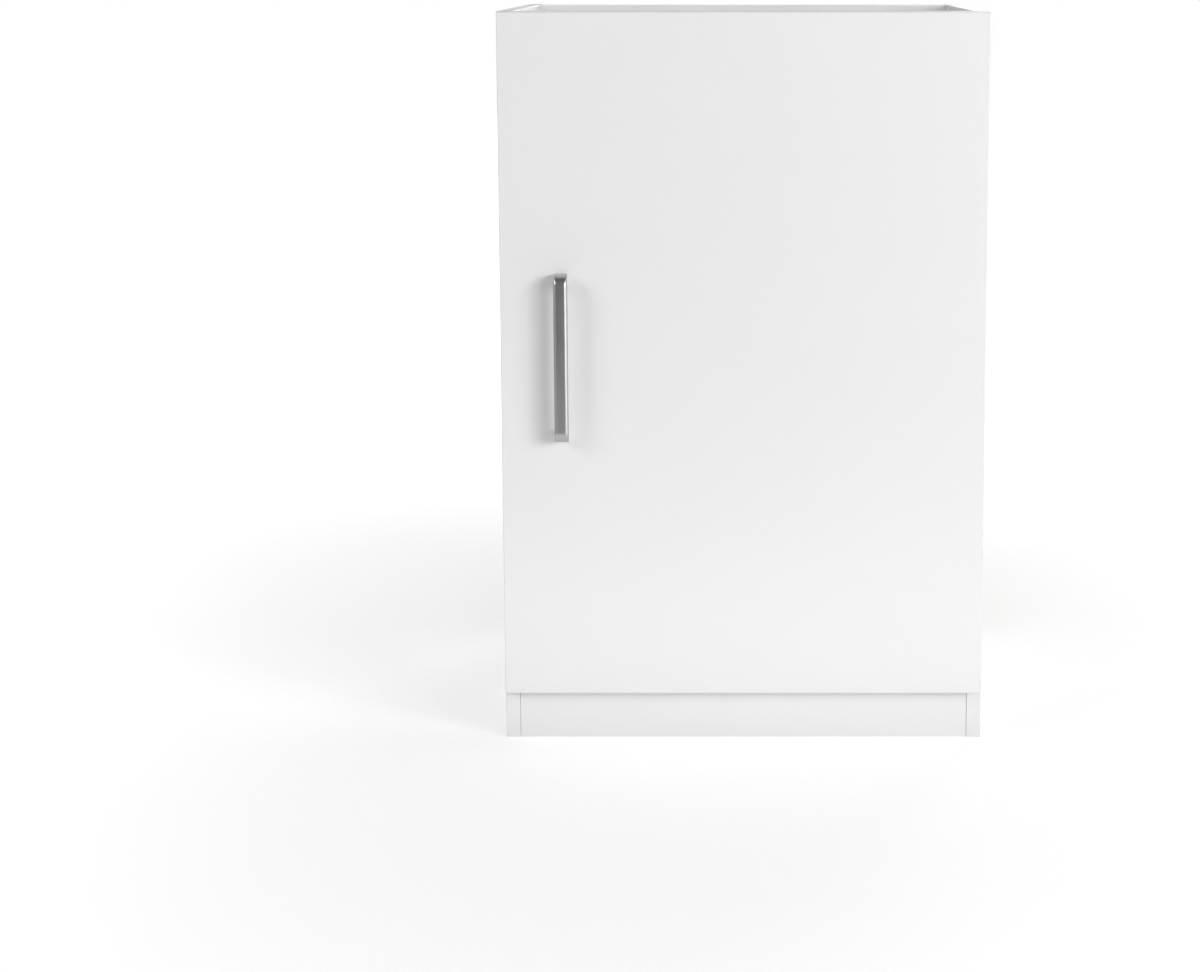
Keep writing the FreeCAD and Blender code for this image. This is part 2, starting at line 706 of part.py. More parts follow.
os.makedirs("parts", exist_ok=True)
save("left_side_panel", side_panel(-1))
save("right_side_panel", side_panel(1))
save("bottom_panel", bottom_panel())
save("plinth", plinth())
save("front_rail", front_rail())
save("rear_rail", rear_rail())
save("back_panel", back_panel())
save("back_panel_screws", *back_panel_screws())
save("plinth_blocks", *[plinth_block(x) for x in block_columns])
save("plinth_block_screws", *plinth_block_screws())
save("cam_locks", *[cam_lock(spot, side, face) for side in sides for spot, face in all_cam_spots])
save("cam_bolts", *[cam_bolt(spot, side) for side in sides for spot, face in all_cam_spots])
save("wood_dowels", *wood_dowels())
save("shelf", shelf())
save("shelf_pins", *[shelf_pin(side, y) for side in sides for y in shelf_hole_rows])
save("wall_brackets", *[wall_bracket(side) for side in sides])
save("wall_bracket_screws", *wall_bracket_screws())
for level, height in hinge_heights.items():
    save(f"{level}_hinge_plate", hinge_plate(height))
    save(f"{level}_hinge_arm", hinge_arm(height))
    save(f"{level}_hinge_cup", hinge_cup(height))
save("hinge_plate_screws", *hinge_plate_screws())
save("hinge_arm_screws", *hinge_arm_screws())
save("hinge_cup_screws", *hinge_cup_screws())
save("hinge_pins", *[hinge_pin(height) for height in hinge_heights.values()])
save("door_panel", door_panel())
save("handle", handle())
save("handle_screws", *handle_screws())
save("door_bumpers", *[door_bumper(z) for z in (door_bottom + bumper_inset, door_top_z - bumper_inset)])
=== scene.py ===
import math

import bmesh
import bpy
from mathutils import Matrix, Vector


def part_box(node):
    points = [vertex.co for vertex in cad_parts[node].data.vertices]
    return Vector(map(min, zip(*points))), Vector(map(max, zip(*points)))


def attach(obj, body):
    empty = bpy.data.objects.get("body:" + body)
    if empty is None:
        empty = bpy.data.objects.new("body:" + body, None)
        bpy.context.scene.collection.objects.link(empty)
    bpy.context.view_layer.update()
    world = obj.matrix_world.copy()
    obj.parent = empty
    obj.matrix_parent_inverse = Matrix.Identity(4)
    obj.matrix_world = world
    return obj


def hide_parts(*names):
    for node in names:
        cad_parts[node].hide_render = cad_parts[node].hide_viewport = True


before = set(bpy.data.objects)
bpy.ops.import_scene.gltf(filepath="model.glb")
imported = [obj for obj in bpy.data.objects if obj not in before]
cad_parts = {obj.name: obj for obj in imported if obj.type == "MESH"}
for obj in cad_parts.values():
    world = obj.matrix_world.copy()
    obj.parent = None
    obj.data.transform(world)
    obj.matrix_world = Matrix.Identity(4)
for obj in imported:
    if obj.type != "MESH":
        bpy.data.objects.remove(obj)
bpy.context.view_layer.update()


# Side panels
# Two 15 mm chipboards faced on both sides with fine-grained white melamine, which stand on the floor.
# Front and top edges are banded in the same white; the sawn rear and bottom edges and every drilled
# hole show the bare chipboard.
class Wire:
    """An output socket of a material's nodes: sums written on wires become Math nodes."""

    def __init__(self, tree, socket=None):
        self.tree = tree
        self.socket = socket

    def feed(self, node, sockets):
        """Sets or links the sockets of a node."""
        for name, value in sockets.items():
            if isinstance(value, Wire):
                self.tree.links.new(value.socket, node.inputs[name])
            else:
                node.inputs[name].default_value = value

    def node(self, kind, settings=None, sockets=None, out=0):
        """Adds a node: first its settings, then the values or links of its sockets."""
        made = self.tree.nodes.new("ShaderNode" + kind)
        for name, value in (settings or {}).items():
            if name == "stops":
                elements = made.color_ramp.elements
                while len(elements) < len(value):
                    elements.new(0.5)
                for element, (position, colour) in zip(elements, value):
                    element.position = position
                    element.color = colour
            else:
                setattr(made, name, value)
        self.feed(made, sockets or {})
        return Wire(self.tree, made.outputs[out])

    def output(self, name):
        """Another output of the same node."""
        return Wire(self.tree, self.socket.node.outputs[name])

    def math(self, operation, *terms):
        return self.node("Math", {"operation": operation}, dict(enumerate(terms)))

    def __add__(self, other):
        return self.math("ADD", self, other)

    def __sub__(self, other):
        return self.math("SUBTRACT", self, other)

    def __rsub__(self, other):
        return self.math("SUBTRACT", other, self)

    def __mul__(self, other):
        return self.math("MULTIPLY", self, other)

    def __gt__(self, other):
        return self.math("GREATER_THAN", self, other)

    def __abs__(self):
        return self.math("ABSOLUTE", self)

    __radd__ = __add__
    __rmul__ = __mul__


def new_finish(name):
    """A material, its shader, and the rest coordinates of the surface in metres."""
    material = bpy.data.materials.new(name)
    material.use_nodes = True
    shader = material.node_tree.nodes["Principled BSDF"]
    place = Wire(material.node_tree).node("TexCoord", out="Object")
    return material, shader, place


# A Mix node has sockets of the same names for numbers, vectors and colours: these are the colours' places
MIX_SHARE = 0
MIX_LOW = 6
MIX_HIGH = 7
MIX_RESULT = 2


def blend(mask, low, high):
    """The colour low where the mask is 0, and high where it is 1."""
    colours = {MIX_SHARE: mask, MIX_LOW: low, MIX_HIGH: high}
    return mask.node("Mix", {"data_type": "RGBA"}, colours, out=MIX_RESULT)


def noise(place, scale, detail=2.0, stretch=None):
    """Soft random values from 0 to 1; scale counts the patches in a metre."""
    if stretch:
        place = place.node("Mapping", sockets={"Vector": place, "Scale": stretch})
    return place.node("TexNoise", sockets={"Vector": place, "Scale": scale, "Detail": detail})


def cells(place, scale):
    """A random tone for each cell of a broken-up surface."""
    colour = place.node("TexVoronoi", sockets={"Vector": place, "Scale": scale}, out="Color")
    return colour.node("SeparateColor", sockets={"Color": colour})


def smooth_step(value, **ends):
    """The value eased between two ends, which are the node's sockets in small letters."""
    sockets = {name.replace("_", " ").title(): end for name, end in ends.items()}
    return value.node("MapRange", {"interpolation_type": "SMOOTHSTEP"}, {"Value": value, **sockets})


def bump(height, strength, distance):
    return height.node("Bump", sockets={"Height": height, "Strength": strength, "Distance": distance})


def paint(material, *nodes):
    for name in nodes:
        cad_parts[name].material_slots[0].material = material


# Each face of a board as the axis that it is square to, and the low or high end of the board's box
FACES = {"left": (0, 0), "right": (0, 1), "front": (1, 0), "rear": (1, 1), "bottom": (2, 0), "top": (2, 1)}
MELAMINE = (0.86, 0.86, 0.86, 1.0)
MELAMINE_SHADE = (0.835, 0.835, 0.835, 1.0)
MELAMINE_SKIN = 0.0003
MELAMINE_GRAIN = 1500.0
MELAMINE_CLOUD = 9.0
MELAMINE_ROUGHNESS = 0.36
BOARD_BUMP = 0.12
BOARD_BUMP_DEPTH = 0.0002
CHIP_TONES = (
    (0.0, (0.26, 0.16, 0.08, 1.0)),
    (0.35, (0.48, 0.335, 0.19, 1.0)),
    (0.75, (0.64, 0.48, 0.30, 1.0)),
    (1.0, (0.76, 0.62, 0.43, 1.0)),
)
CHIP_ROUGHNESS = 0.4
CHIP_RELIEF = 6.0
FLAKES = 330.0
DUST = 1100.0
FLAKE_FLATNESS = 2.8
FLAKE_WANDER = 140.0
FLAKE_BEND = 0.006
FLAKES_END = 0.95
FLAKES_FULL = 0.45
FLAKE_SHARE = 0.8


def sawn_chips(place, split, low, high):
    """Tone of a sawn edge: flat flakes in the board's core, bent by the press, and dust near its faces."""
    size = high - low
    thin = min(range(3), key=lambda axis: size[axis])
    press = [FLAKE_FLATNESS if axis == thin else 1.0 for axis in range(3)]
    wander = noise(place, FLAKE_WANDER, detail=3.0).output("Color")
    bend = {0: wander, 1: (FLAKE_BEND,) * 3, 2: place}
    bent = place.node("VectorMath", {"operation": "MULTIPLY_ADD"}, bend)
    pressed = bent.node("Mapping", sockets={"Vector": bent, "Scale": press})
    flake = cells(pressed, FLAKES)
    dust = cells(pressed, DUST)
    off_core = abs(split.output(thin) - (low[thin] + high[thin]) / 2) * (2 / size[thin])
    core = smooth_step(off_core, from_min=FLAKES_END, from_max=FLAKES_FULL)
    return dust + (flake - dust) * core * FLAKE_SHARE


def board_finish(node, bare=(), skin=MELAMINE_SKIN):
    """White melamine on the faces and banded edges of a board, chipboard wherever it is cut."""
    material, shader, place = new_finish(node + "_melamine")
    split = place.node("SeparateXYZ", sockets={"Vector": place})
    low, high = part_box(node)
    depth = None
    for face, (axis, end) in FACES.items():
        if face not in bare:
            gap = abs(split.output(axis) - (low, high)[end][axis])
            depth = gap if depth is None else depth.math("MINIMUM", depth, gap)
    cut = depth > skin
    grain = noise(place, MELAMINE_GRAIN, detail=3.0)
    cloud = noise(place, MELAMINE_CLOUD)
    chip = sawn_chips(place, split, low, high)
    white = blend(grain * 0.5 + cloud * 0.5, MELAMINE_SHADE, MELAMINE)
    wood = chip.node("ValToRGB", {"stops": CHIP_TONES}, {0: chip * 0.65 + grain * 0.35})
    relief = grain * (1 - cut) + chip * cut * CHIP_RELIEF
    place.feed(shader, {
        "Base Color": blend(cut, white, wood),
        "Roughness": MELAMINE_ROUGHNESS + cloud * 0.06 + grain * 0.06 + cut * CHIP_ROUGHNESS,
        "Normal": bump(relief, BOARD_BUMP, BOARD_BUMP_DEPTH),
    })
    return material


for side in ("left", "right"):
    paint(board_finish(side + "_side_panel", bare=("rear", "bottom")), side + "_side_panel")


# Boards between the side panels
# The bottom panel, the plinth under its front edge and the two upright rails at the top, all cut from
# the same white board. Their ends are sawn and drilled, and butt against the side panels.
paint(board_finish("bottom_panel", bare=("left", "right", "rear")), "bottom_panel")
paint(board_finish("plinth", bare=("left", "right", "bottom", "top")), "plinth")
paint(board_finish("front_rail", bare=("left", "right")), "front_rail")
paint(board_finish("rear_rail", bare=("left", "right", "bottom")), "rear_rail")


# Wood dowels
# Grooved beech pegs glued into the ends of the boards, which line the boards up with the side panels.
# Turned from rod, with pressed flutes that let the glue out and bevelled ends.
WELD_DISTANCE = 1e-6
SORT_DECIMALS = 4
LATHE_STEPS = 24
SHARP_ANGLE = 32.0


def middle_of(points):
    """The mean of a solid's corners, rounded so that it sorts the same way each time."""
    return [round(value, SORT_DECIMALS) for value in sum(points, Vector()) / len(points)]


def loose_solids(node):
    """The separate solids of a group node, each as a list of its corners."""
    work = bmesh.new()
    work.from_mesh(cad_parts[node].data)
    bmesh.ops.remove_doubles(work, verts=work.verts, dist=WELD_DISTANCE)
    unseen = dict.fromkeys(work.verts)
    solids = []
    while unseen:
        stack = [unseen.popitem()[0]]
        found = []
        while stack:
            vert = stack.pop()
            found.append(vert.co.copy())
            for edge in vert.link_edges:
                other = edge.other_vert(vert)
                if other in unseen:
                    unseen.pop(other)
                    stack.append(other)
        solids.append(found)
    work.free()
    return sorted(solids, key=middle_of)


def box_of(points):
    low = Vector([min(point[axis] for point in points) for axis in range(3)])
    high = Vector([max(point[axis] for point in points) for axis in range(3)])
    return low, high


def upright(origin, direction):
    """A placing matrix that turns local +Z to the direction."""
    return Matrix.Translation(origin) @ direction.to_track_quat("Z", "Y").to_matrix().to_4x4()


def lathe(mesh, place, profile, steps=LATHE_STEPS):
    """Rings of faces through pairs of height and radius; a radius may depend on the angle."""
    rings = []
    for height, radius in profile:
        ring = []
        for step in range(steps):
            angle = math.tau * step / steps
            reach = radius(angle) if callable(radius) else radius
            point = Vector((reach * math.cos(angle), reach * math.sin(angle), height))
            ring.append(mesh.verts.new(place @ point))
        rings.append(ring)
    for lower, upper in zip(rings, rings[1:]):
        for step in range(steps):
            after = (step + 1) % steps
            mesh.faces.new((lower[step], lower[after], upper[after], upper[step]))
    return rings[0], rings[-1]


def finish_piece(name, mesh, material, body, slot, *nodes):
    """Turns a bmesh into a smooth piece on a body that stands for the CAD nodes."""
    bmesh.ops.recalc_face_normals(mesh, faces=mesh.faces)
    data = bpy.data.meshes.new(name)
    mesh.to_mesh(data)
    mesh.free()
    for polygon in data.polygons:
        polygon.use_smooth = True
    data.set_sharp_from_angle(angle=math.radians(SHARP_ANGLE))
    data.materials.append(material)
    piece = bpy.data.objects.new(name, data)
    bpy.context.scene.collection.objects.link(piece)
    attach(piece, body)
    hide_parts(*nodes)


BEECH = (0.66, 0.47, 0.29, 1.0)
BEECH_FLECK = (0.50, 0.32, 0.17, 1.0)
BEECH_GRAIN = 700.0
BEECH_GRAIN_STRETCH = (0.08, 1.0, 1.0)
BEECH_FLECKS = 1800.0
BEECH_FLECK_STRETCH = (0.25, 1.0, 1.0)
BEECH_FLECK_LEVEL = 0.62
BEECH_ROUGHNESS = 0.55
DOWEL_FLUTES = 16
DOWEL_FLUTE_STEPS = 4
DOWEL_FLUTE_DEPTH = 0.06
DOWEL_BEVEL = 0.001
DOWEL_END = 0.8


def beech_finish():
    material, shader, place = new_finish("beech_dowel")
    grain = noise(place, BEECH_GRAIN, detail=4.0, stretch=BEECH_GRAIN_STRETCH)
    fleck = noise(place, BEECH_FLECKS, stretch=BEECH_FLECK_STRETCH) > BEECH_FLECK_LEVEL
    place.feed(shader, {
        "Base Color": blend(grain * 0.7 + fleck * 0.3, BEECH, BEECH_FLECK),
        "Roughness": BEECH_ROUGHNESS + grain * 0.2,
        "Normal": bump(grain, strength=0.2, distance=0.0002),
    })
    return material


def dowel(mesh, points):
    low, high = box_of(points)
    radius = (high.y - low.y) / 2
    length = high.x - low.x
    middle = (low + high) / 2

    def fluted(share):
        def reach(angle):
            groove = max(0.0, math.cos(angle * DOWEL_FLUTES))
            return radius * share * (1 - DOWEL_FLUTE_DEPTH * groove)
        return reach

    profile = [
        (0.0, fluted(DOWEL_END)),
        (DOWEL_BEVEL, fluted(1.0)),
        (length - DOWEL_BEVEL, fluted(1.0)),
        (length, fluted(DOWEL_END)),
    ]
    place = upright(Vector((low.x, middle.y, middle.z)), Vector((1, 0, 0)))
    for ring in lathe(mesh, place, profile, steps=DOWEL_FLUTE_STEPS * DOWEL_FLUTES):
        mesh.faces.new(ring)


dowels = bmesh.new()
for points in loose_solids("wood_dowels"):
    dowel(dowels, points)
finish_piece("fluted_dowels", dowels, beech_finish(), "carcass", "beech", "wood_dowels")


# Cam locks and cam bolts
# A steel bolt screws into the side panel and its head hooks into a die-cast zinc cam in the board's
# end. Half a turn of a screwdriver in the cross slot pulls the joint tight.
CAST_ZINC = (0.60, 0.60, 0.61, 1.0)
CAST_ZINC_SHADE = (0.46, 0.46, 0.47, 1.0)
ZINC_PLATE = (0.68, 0.69, 0.70, 1.0)
ZINC_PLATE_SHADE = (0.54, 0.55, 0.55, 1.0)
PLATE_CLOUD = 60.0
PLATE_BUMP_DEPTH = 0.0001
THREAD_RIDGE = 0.25
THREAD_SLICES = 6
SOCKET_REACH = 0.62
SOCKET_HALF_WIDTH = 0.15
SOCKET_DEPTH = 0.62
SOCKET_TAPER = 0.5
BOLT_PITCH = 0.0018
BOLT_BEVEL = 0.0005
BOLT_NECK = 0.5
BOLT_CORE = 0.68
BOLT_TIP = 0.4
BOLT_DECIMALS = 5


def plated_finish(name, tint, shade, roughness, grain=1200.0, stretch=None, relief=0.06):
    """Bare or plated metal: cloudy tone, and a fine grain that may run one way."""
    material, shader, place = new_finish(name)
    cloud = noise(place, PLATE_CLOUD, detail=3.0)
    fine = noise(place, grain, detail=3.0, stretch=stretch)
    place.feed(shader, {
        "Base Color": blend(cloud * 0.6 + fine * 0.4, shade, tint),
        "Metallic": 1.0,
        "Roughness": roughness + cloud * 0.06 + fine * 0.08,
        "Normal": bump(fine, relief, PLATE_BUMP_DEPTH),
    })
    return material


def thread(radius, core, pitch, height):
    """The outline of a screw thread cut across at one height."""
    def reach(angle):
        phase = (height / pitch - angle / math.tau) % 1.0
        return core + (radius - core) * max(0.0, 1 - abs(phase - 0.5) / THREAD_RIDGE)
    return reach


def cross_socket(mesh, place, rim, height, radius):
    """Closes the top ring of a head with a flat face and a tapered cross socket."""
    reach = SOCKET_REACH * radius
    half = SOCKET_HALF_WIDTH * radius
    rise = Vector((0, 0, height))
    sink = Vector((0, 0, height + SOCKET_DEPTH * radius))
    mouth = []
    floor = []
    for quarter in range(4):
        turn = Matrix.Rotation(quarter * math.pi / 2, 3, "Z")
        for x, y in ((reach, -half), (reach, half), (half, half)):
            corner = turn @ Vector((x, y, 0))
            mouth.append(mesh.verts.new(place @ (corner + rise)))
            floor.append(mesh.verts.new(place @ (corner * SOCKET_TAPER + sink)))
    count = len(mouth)
    for step in range(count):
        after = (step + 1) % count
        mesh.faces.new((mouth[step], mouth[after], floor[after], floor[step]))
    mesh.faces.new(floor)
    border = []
    for ring in (rim, mouth):
        for step in range(len(ring)):
            border.append(mesh.edges.get((ring[step - 1], ring[step])))
    bmesh.ops.triangle_fill(mesh, edges=border, use_beauty=True)


def cam_bolt(mesh, points):
    """A connector bolt: a coarse thread, a shank, a thin neck and a round head with a cross socket."""
    low, high = box_of(points)
    middle = (low + high) / 2
    outward = math.copysign(1.0, middle.x)
    head_end = low.x if outward > 0 else high.x
    spread = {}
    for point in points:
        level = round(abs(point.x - head_end), BOLT_DECIMALS)
        spread[level] = max(spread.get(level, 0.0), math.hypot(point.y - middle.y, point.z - middle.z))
    top, head, neck, shank, tip = sorted(spread)
    head_radius = spread[top]
    neck_radius = BOLT_NECK * head_radius
    shank_radius = spread[neck]
    core = BOLT_CORE * spread[tip]
    slices = int((tip - shank) / BOLT_PITCH * THREAD_SLICES)
    profile = [(tip, BOLT_TIP * spread[tip])]
    for step in range(slices - 1, 0, -1):
        height = shank + step * BOLT_PITCH / THREAD_SLICES
        profile.append((height, thread(spread[tip], core, BOLT_PITCH, height)))
    profile += [(shank, core), (shank, shank_radius - BOLT_BEVEL), (shank - BOLT_BEVEL, shank_radius)]
    profile += [(neck + BOLT_BEVEL, shank_radius), (neck, shank_radius - BOLT_BEVEL), (neck, neck_radius)]
    profile += [(head, neck_radius), (head, head_radius - BOLT_BEVEL), (head - BOLT_BEVEL, head_radius)]
    profile += [(BOLT_BEVEL, head_radius), (0.0, head_radius - BOLT_BEVEL)]
    place = upright(Vector((head_end, middle.y, middle.z)), Vector((outward, 0.0, 0.0)))
    point_ring, rim = lathe(mesh, place, profile)
    mesh.faces.new(point_ring)
    cross_socket(mesh, place, rim, 0.0, head_radius)


cast_zinc = plated_finish("die_cast_zinc", CAST_ZINC, CAST_ZINC_SHADE, roughness=0.42, relief=0.2)
zinc_plate = plated_finish("zinc_plate", ZINC_PLATE, ZINC_PLATE_SHADE, roughness=0.24)
paint(cast_zinc, "cam_locks")
bolts = bmesh.new()
for points in loose_solids("cam_bolts"):
    cam_bolt(bolts, points)
finish_piece("threaded_cam_bolts", bolts, zinc_plate, "carcass", "fastener_steel", "cam_bolts")


# Plinth blocks and their screws
# White nylon corner blocks behind the plinth: one screw goes up into the bottom panel and one forward
# into the plinth. Moulded, with a fine spark-eroded surface.
NYLON = (0.84, 0.84, 0.82, 1.0)
NYLON_SHADE = (0.79, 0.79, 0.77, 1.0)
NYLON_PITS = 2600.0
NYLON_CLOUD = 120.0
NYLON_ROUGHNESS = 0.42
BLOCK_SCREW_PITCH = 0.0016
SCREW_CORE = 0.72
SCREW_TIP_LENGTH = 2.2
SCREW_POINT = 0.15
SCREW_DECIMALS = 6
HEAD_UNDERSIDE = 0.98
HEAD_STEPS = (0.1, 0.35, 0.6, 0.8, 0.93, 1.0)
HEAD_CROWN = 0.32
SAME_LEVEL = 1e-5


def nylon_finish():
    material, shader, place = new_finish("white_nylon")
    pits = noise(place, NYLON_PITS)
    cloud = noise(place, NYLON_CLOUD)
    place.feed(shader, {
        "Base Color": blend(cloud * 0.7 + pits * 0.3, NYLON_SHADE, NYLON),
        "Roughness": NYLON_ROUGHNESS + pits * 0.12,
        "Normal": bump(pits, strength=0.15, distance=0.0001),
    })
    return material


def screw(mesh, points, pitch):
    """A pan-head screw with a cross socket and a cut thread, in the space of its CAD solid."""
    low, high = box_of(points)
    size = high - low
    middle = (low + high) / 2
    along = max(range(3), key=lambda axis: size[axis])
    across = [axis for axis in range(3) if axis != along]
    spread = {}
    for end, level in ((-1, low[along]), (1, high[along])):
        ring = [point - middle for point in points if abs(point[along] - level) < SAME_LEVEL]
        spread[end] = max(math.hypot(*[offset[axis] for axis in across]) for offset in ring)
    head_end = max(spread, key=spread.get)
    head_radius = spread[head_end]
    radius = spread[-head_end]
    inward = Vector([-head_end if axis == along else 0 for axis in range(3)])
    levels = sorted({round((point - middle).dot(inward), SCREW_DECIMALS) for point in points})
    head = levels[1] - levels[0]
    bite = levels[-1] - levels[1]
    place = upright(middle + inward * levels[1], inward)
    slices = int((bite - SCREW_TIP_LENGTH * radius) / pitch * THREAD_SLICES)
    profile = [(bite, SCREW_POINT * radius)]
    for step in range(slices, -1, -1):
        height = step * pitch / THREAD_SLICES
        profile.append((height, thread(radius, SCREW_CORE * radius, pitch, height)))
    profile.append((0.0, HEAD_UNDERSIDE * head_radius))
    for share in HEAD_STEPS:
        profile.append((-head * share, head_radius * (1 - HEAD_CROWN * share**3)))
    point_ring, rim = lathe(mesh, place, profile)
    mesh.faces.new(point_ring)
    cross_socket(mesh, place, rim, -head, head_radius)


def screw_piece(name, node, body, pitch):
    """Zinc-plated screws in place of a group node."""
    screws = bmesh.new()
    for points in loose_solids(node):
        screw(screws, points, pitch)
    finish_piece(name, screws, zinc_plate, body, "fastener_steel", node)


paint(nylon_finish(), "plinth_blocks")
screw_piece("plinth_block_cross_screws", "plinth_block_screws", "carcass", BLOCK_SCREW_PITCH)


# Back panel and its screws
# A 3 mm hardboard sheet, lacquered white on the side that faces into the cabinet and left brown behind,
# with the mesh print of the press. It slides down the grooves and is screwed at the top and bottom.
HARDBOARD = (0.43, 0.29, 0.175, 1.0)
HARDBOARD_DARK = (0.24, 0.145, 0.075, 1.0)
HARDBOARD_FIBRE = 420.0
HARDBOARD_CLOUD = 14.0
HARDBOARD_ROUGHNESS = 0.35
LACQUER = (0.84, 0.84, 0.83, 1.0)
LACQUER_SHADE = (0.81, 0.81, 0.80, 1.0)
LACQUER_PEEL = 900.0
LACQUER_ROUGHNESS = 0.34
LACQUER_SKIN = 0.0004
MESH_PRINT = 0.0014
BACK_SCREW_PITCH = 0.0013


def hardboard_finish():
    material, shader, place = new_finish("lacquered_hardboard")
    split = place.node("SeparateXYZ", sockets={"Vector": place})
    brown = split.output("Y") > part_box("back_panel")[0].y + LACQUER_SKIN
    rows = split.math("SINE", split.output("X") * (math.tau / MESH_PRINT))
    columns = split.math("SINE", split.output("Z") * (math.tau / MESH_PRINT))
    dimple = rows * columns * 0.5 + 0.5
    fibre = noise(place, HARDBOARD_FIBRE, detail=6.0)
    cloud = noise(place, HARDBOARD_CLOUD, detail=4.0)
    peel = noise(place, LACQUER_PEEL)
    wood = blend((fibre - 0.5) * 1.6 + dimple * 0.25 + cloud * 0.7, HARDBOARD_DARK, HARDBOARD)
    white = blend(peel * 0.6 + cloud * 0.4, LACQUER_SHADE, LACQUER)
    relief = peel * 0.4 * (1 - brown) + (dimple * 1.2 + fibre) * brown
    place.feed(shader, {
        "Base Color": blend(brown, white, wood),
        "Roughness": LACQUER_ROUGHNESS + peel * 0.08 + brown * HARDBOARD_ROUGHNESS,
        "Normal": bump(relief, strength=0.25, distance=0.0003),
    })
    return material


paint(hardboard_finish(), "back_panel")
screw_piece("back_panel_cross_screws", "back_panel_screws", "carcass", BACK_SCREW_PITCH)


# Wall brackets and their screws
# Bent angles of galvanised steel sheet in the upper rear corners, each screwed to its side panel, with
# a hole for the wall screw. The zinc shows its pale spangle.
GALVANISED = (0.64, 0.64, 0.63, 1.0)
GALVANISED_SHADE = (0.48, 0.48, 0.47, 1.0)
SPANGLE = 260.0
SPANGLE_GRAIN = 1500.0
SPANGLE_ROUGHNESS = 0.34
BRACKET_SCREW_PITCH = 0.0016


def spangle_finish():
    material, shader, place = new_finish("galvanised_sheet")
    tone = cells(place, SPANGLE)
    fine = noise(place, SPANGLE_GRAIN, detail=3.0)
    place.feed(shader, {
        "Base Color": blend(tone * 0.7 + fine * 0.3, GALVANISED_SHADE, GALVANISED),
        "Metallic": 1.0,
        "Roughness": SPANGLE_ROUGHNESS + tone * 0.14 + fine * 0.06,
        "Normal": bump(fine, strength=0.1, distance=0.0001),
    })
    return material


paint(spangle_finish(), "wall_brackets")
screw_piece("wall_bracket_cross_screws", "wall_bracket_screws", "carcass", BRACKET_SCREW_PITCH)


# Hinge plates and arms
# Pressed steel, nickel plated. The plates are screwed to the right side panel; the arms lie on them
# under two screws each and reach with a goose-neck into the cups of the door.
NICKEL = (0.72, 0.70, 0.67, 1.0)
NICKEL_SHADE = (0.62, 0.60, 0.57, 1.0)
PLATE_SCREW_PITCH = 0.0022
ARM_SCREW_PITCH = 0.0008

nickel = plated_finish("nickel_plate", NICKEL, NICKEL_SHADE, roughness=0.17, relief=0.04)
for level in ("upper", "lower"):
    paint(nickel, level + "_hinge_plate", level + "_hinge_arm")
screw_piece("hinge_plate_cross_screws", "hinge_plate_screws", "carcass", PLATE_SCREW_PITCH)
screw_piece("hinge_arm_cross_screws", "hinge_arm_screws", "carcass", ARM_SCREW_PITCH)


# Shelf and its pins
# A loose board, banded in front, that lies on the tongues of four nickel-plated pins. The pins plug into
# the rows of holes in the side panels.
paint(board_finish("shelf", bare=("left", "right", "rear")), "shelf")
paint(nickel, "shelf_pins")


# Door panel
# One plain board, banded on all four edges with slightly rounded corners, drilled behind for the
# hinge cups and the handle's screws.
DOOR_SKIN = 0.0007

paint(board_finish("door_panel", skin=DOOR_SKIN), "door_panel")


# Hinge cups, pins and cup screws
# Drawn steel cups pressed 11.5 mm into the back of the door and screwed down by their ears. Each pin is
# riveted through the cup's lugs, and the arm's eye turns on it.
CUP_SCREW_PITCH = 0.0014

for level in ("upper", "lower"):
    paint(nickel, level + "_hinge_cup")
paint(zinc_plate, "hinge_pins")
screw_piece("hinge_cup_cross_screws", "hinge_cup_screws", "door", CUP_SCREW_PITCH)


# Handle and its screws
# A bow cast in zinc alloy, brushed lengthwise and plated satin nickel. Its long front edges are soft and
# sharpen round the bends towards the feet. Two machine screws come through the door from behind.
SATIN_NICKEL = (0.50, 0.50, 0.50, 1.0)
SATIN_NICKEL_SHADE = (0.43, 0.43, 0.43, 1.0)
BRUSH_GRAIN = 1600.0
BRUSH_STRETCH = (1.0, 1.0, 0.02)
HANDLE_WIDTH = 0.015
HANDLE_FOOT_WIDTH = 0.012
HANDLE_FOOT_HEIGHT = 0.012
HANDLE_THICKNESS = 0.008
HANDLE_BEND = 0.0105
HANDLE_BEND_STEPS = 12
HANDLE_INNER_BEND = 0.003
HANDLE_EDGE = 0.0035
HANDLE_SHARP_EDGE = 0.001
HANDLE_EDGE_STEPS = 6
HANDLE_CREASE = 0.0004
HANDLE_CROWN = 0.0004
HANDLE_CROWN_STEPS = (0.2, 0.5, 0.8)
MACHINE_SCREW_PITCH = 0.0007


def quarter_turn(steps):
    return [math.pi / 2 * step / steps for step in range(steps + 1)]


